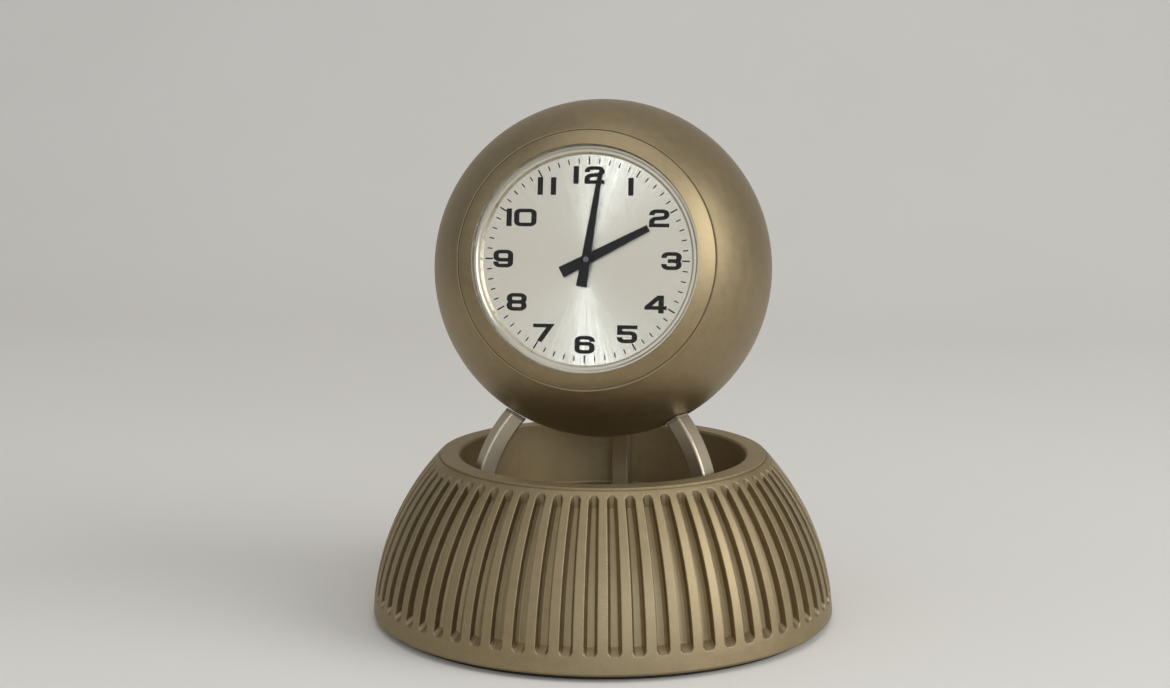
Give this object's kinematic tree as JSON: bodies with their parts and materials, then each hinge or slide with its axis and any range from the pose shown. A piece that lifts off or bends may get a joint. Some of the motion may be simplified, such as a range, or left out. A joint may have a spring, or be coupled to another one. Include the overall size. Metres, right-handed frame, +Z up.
{
  "type": "table clock",
  "caption": "Table clock: a satin metal ball with a round dial, carried on curved arms over a dish in a fluted dome base, with a quartz movement inside.",
  "frame": {"origin": "centre of the foot's underside, where the clock stands", "axes": "+Z up, the dial faces -Y, +X to the right as seen facing the dial"},
  "size_m": [0.104, 0.104, 0.116],
  "materials": {
    "champagne_metal": "satin champagne anodised",
    "arm_metal": "satin champagne, brushed",
    "foot_rubber": "matte, fine pebble",
    "plain_steel": "plain machined",
    "movement_brass": "brushed",
    "clear_crystal": "clear polished",
    "black_rubber": "matte",
    "pale_nylon": "moulded, slightly translucent",
    "polished_ring": "polished",
    "dial_silver": "sunburst brushed",
    "hand_black": "satin black",
    "grey_plastic": "moulded",
    "copper_winding": "enamelled wire",
    "board_green": "solder mask",
    "magnet_grey": "sintered",
    "cell_jacket": "plain printed sleeve, unmarked"
  },
  "bodies": {
    "base": {"base_shell": "champagne_metal", "base_plate": "plain_steel", "foot_pad": "foot_rubber", "dish": "champagne_metal", "tie_bolt": "plain_steel", "cradle_arm_left": "arm_metal", "cradle_arm_right": "arm_metal", "cradle_arm_rear": "arm_metal", "arm_pads": "pale_nylon", "arm_screws": "plain_steel"},
    "ball": {"ball_shell": "champagne_metal", "bezel": "champagne_metal", "crystal": "clear_crystal", "crystal_gasket": "pale_nylon", "inner_ring": "polished_ring", "dial": "dial_silver", "movement_carrier": "grey_plastic", "carrier_screws": "plain_steel", "front_plate": "movement_brass", "back_plate": "movement_brass", "plate_pillars": "movement_brass", "pillar_screws": "plain_steel", "motion_stud": "plain_steel", "stator": "plain_steel", "motor_coil": "copper_winding", "circuit_board": "board_green", "oscillator": "plain_steel", "battery_tray": "grey_plastic", "tray_screws": "plain_steel", "battery_cell": "cell_jacket", "battery_contacts": "plain_steel"},
    "minute_works": {"centre_wheel": "movement_brass", "cannon_pinion": "movement_brass", "minute_hand": "hand_black"},
    "hour_works": {"hour_wheel": "movement_brass", "hour_hand": "hand_black"},
    "motion_works": {"motion_wheel": "movement_brass"},
    "intermediate_works": {"intermediate_wheel": "movement_brass"},
    "rotor_works": {"rotor_pinion": "movement_brass", "rotor_magnet": "magnet_grey"},
    "setting_works": {"setting_stem": "plain_steel", "setting_knob": "grey_plastic"},
    "cover": {"rear_cover": "champagne_metal", "cover_seal": "black_rubber"}
  },
  "joints": [
    {"name": "ball_tilt", "type": "hinge", "parent": "base", "child": "ball", "pos_m": [0, 0, 0.0786], "axis": [-1, 0, 0], "range_deg": [-26, 8]},
    {"name": "minute_turn", "type": "hinge", "parent": "ball", "child": "minute_works", "pos_m": [0, -0.0196, 0.08259], "axis": [0, 0.9799, -0.1994], "continuous": true},
    {"name": "hour_turn", "type": "hinge", "parent": "ball", "child": "hour_works", "pos_m": [0, -0.0196, 0.08259], "axis": [0, 0.9799, -0.1994], "continuous": true},
    {"name": "motion_turn", "type": "hinge", "parent": "ball", "child": "motion_works", "pos_m": [0.00846, -0.01898, 0.0856], "axis": [0, 0.9799, -0.1994], "continuous": true},
    {"name": "intermediate_turn", "type": "hinge", "parent": "ball", "child": "intermediate_works", "pos_m": [0, -0.02183, 0.07161], "axis": [0, 0.9799, -0.1994], "continuous": true},
    {"name": "rotor_turn", "type": "hinge", "parent": "ball", "child": "rotor_works", "pos_m": [-0.0084, -0.02183, 0.07161], "axis": [0, 0.9799, -0.1994], "continuous": true},
    {"name": "setting_turn", "type": "hinge", "parent": "ball", "child": "setting_works", "pos_m": [0.00689, -0.01722, 0.09429], "axis": [0, 0.9799, -0.1994], "continuous": true},
    {"name": "cover_pull", "type": "slide", "parent": "ball", "child": "cover", "axis": [0, 0.9799, -0.1994], "range_m": [0, 0.01]}
  ],
  "couplings": [
    {"joint": "hour_turn", "follows": "minute_turn", "ratio": 0.083333},
    {"joint": "motion_turn", "follows": "minute_turn", "ratio": -0.33333},
    {"joint": "intermediate_turn", "follows": "minute_turn", "ratio": -6},
    {"joint": "rotor_turn", "follows": "minute_turn", "ratio": 30},
    {"joint": "setting_turn", "follows": "minute_turn", "ratio": 1}
  ]
}
